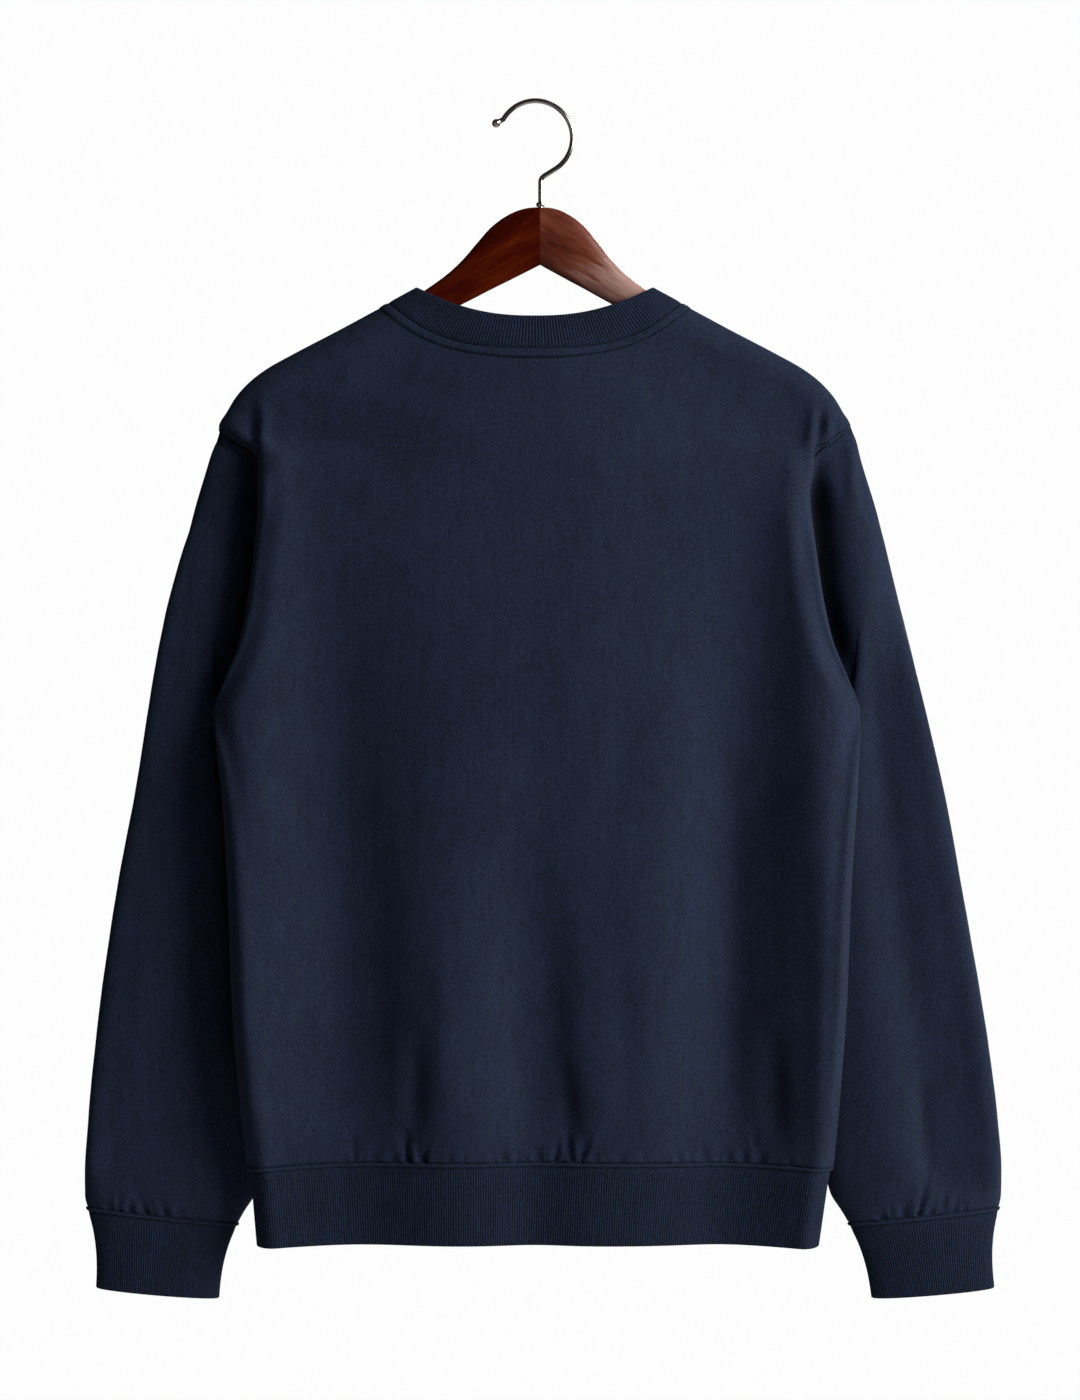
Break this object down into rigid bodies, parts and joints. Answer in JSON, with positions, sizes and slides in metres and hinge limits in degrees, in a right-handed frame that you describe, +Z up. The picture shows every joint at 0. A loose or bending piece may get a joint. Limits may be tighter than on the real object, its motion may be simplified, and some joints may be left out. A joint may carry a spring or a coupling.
{
  "type": "crewneck sweatshirt on a hanger",
  "caption": "Plain long-sleeved crewneck sweatshirt with ribbed neckband, cuffs and hem, hanging on a shaped wooden hanger with a wire hook.",
  "frame": {"origin": "underside of the top of the hanger's hook, where it bears on what holds it", "axes": "+Z up, along the garment's length; +X towards the wearer's right sleeve; +Y towards the garment's front, through its thickness, so the garment's back faces -Y"},
  "size_m": [0.7138, 0.0984, 0.9272],
  "materials": {
    "fleece": "matte brushed knit, dark navy",
    "rib_knit": "matte 1x1 rib knit, dark navy",
    "stained_wood": "satin red-brown stain and varnish",
    "polished_steel": "polished"
  },
  "bodies": {
    "root": {"back_panel": "fleece", "front_panel": "fleece", "sleeve_left": "fleece", "sleeve_right": "fleece", "neckband": "rib_knit", "cuff_left": "rib_knit", "cuff_right": "rib_knit", "hem_band": "rib_knit", "hanger_arm_left": "stained_wood", "hanger_arm_right": "stained_wood", "hanger_hook": "polished_steel", "hook_ferrule": "polished_steel"}
  },
  "joints": []
}
